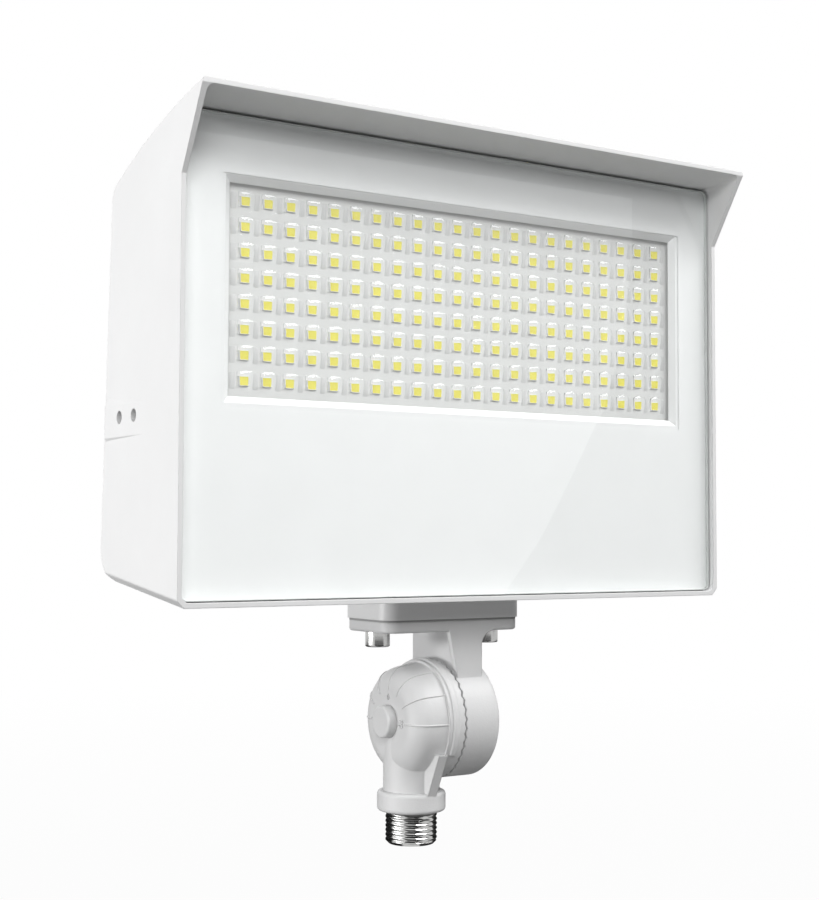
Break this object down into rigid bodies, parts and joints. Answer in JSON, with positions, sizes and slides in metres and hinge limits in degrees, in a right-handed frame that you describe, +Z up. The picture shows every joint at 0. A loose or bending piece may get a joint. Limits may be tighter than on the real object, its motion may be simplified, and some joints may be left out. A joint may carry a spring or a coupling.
{
  "type": "led flood light",
  "caption": "LED flood light: drafted cast housing with a hood over flat white-bordered glass and a lens array, tilting on a serrated round knuckle with a threaded nipple.",
  "frame": {"origin": "on the nipple's axis, at the underside of the collar where the thread starts", "axes": "+Z up along the nipple's axis towards the lamp head, +X along the tilt axis from the domed half to the drum half, the light leaves towards -Y"},
  "size_m": [0.2588, 0.1008, 0.2829],
  "materials": {
    "plated_steel": "bright zinc plating on steel",
    "knuckle_paint": "fine-textured white powder coat on cast aluminium",
    "housing_paint": "fine-textured white powder coat on cast aluminium",
    "seal_rubber": "matte silicone rubber",
    "fastener_steel": "satin stainless steel",
    "clear_glass": "clear tempered glass",
    "white_print": "baked white ceramic ink",
    "frame_plastic": "satin white plastic",
    "lens_plastic": "clear moulded lens plastic",
    "board_white": "white solder mask on an aluminium board",
    "led_phosphor": "yellow phosphor under clear resin",
    "driver_metal": "mill aluminium",
    "potting": "black potting compound",
    "block_plastic": "black moulded plastic",
    "terminal_plastic": "pale moulded plastic",
    "ground_green": "green dyed steel",
    "lead_insulation": "smooth wire insulation"
  },
  "bodies": {
    "mount_arm": {"nipple": "plated_steel", "lower_arm": "knuckle_paint", "joint_ring": "seal_rubber", "pivot_bolt": "fastener_steel", "pivot_washer": "fastener_steel", "pivot_nut": "fastener_steel", "pivot_cap": "knuckle_paint"},
    "lamp_head": {"upper_arm": "knuckle_paint", "flange_bolts": "fastener_steel", "knuckle_gasket": "seal_rubber", "housing": "housing_paint", "front_glass": "clear_glass", "glass_print": "white_print", "glass_gasket": "seal_rubber", "window_frame": "frame_plastic", "lens_plate": "lens_plastic", "led_board": "board_white", "led_chips": "led_phosphor", "board_screws": "fastener_steel", "driver_case": "driver_metal", "driver_potting": "potting", "driver_lid": "driver_metal", "lid_screws": "fastener_steel", "driver_screws": "fastener_steel", "surge_protector": "block_plastic", "terminal_block": "terminal_plastic", "terminal_screws": "fastener_steel", "block_screws": "fastener_steel", "ground_screw": "ground_green", "led_leads": "lead_insulation", "supply_leads": "lead_insulation", "wire_bushing": "seal_rubber", "rear_cover": "housing_paint", "rear_gasket": "seal_rubber", "rear_screws": "fastener_steel"}
  },
  "joints": [
    {"name": "head_tilt", "type": "hinge", "parent": "mount_arm", "child": "lamp_head", "pos_m": [0.0104, 0, 0.0361], "axis": [1, 0, 0], "range_deg": [-90, 90]}
  ]
}
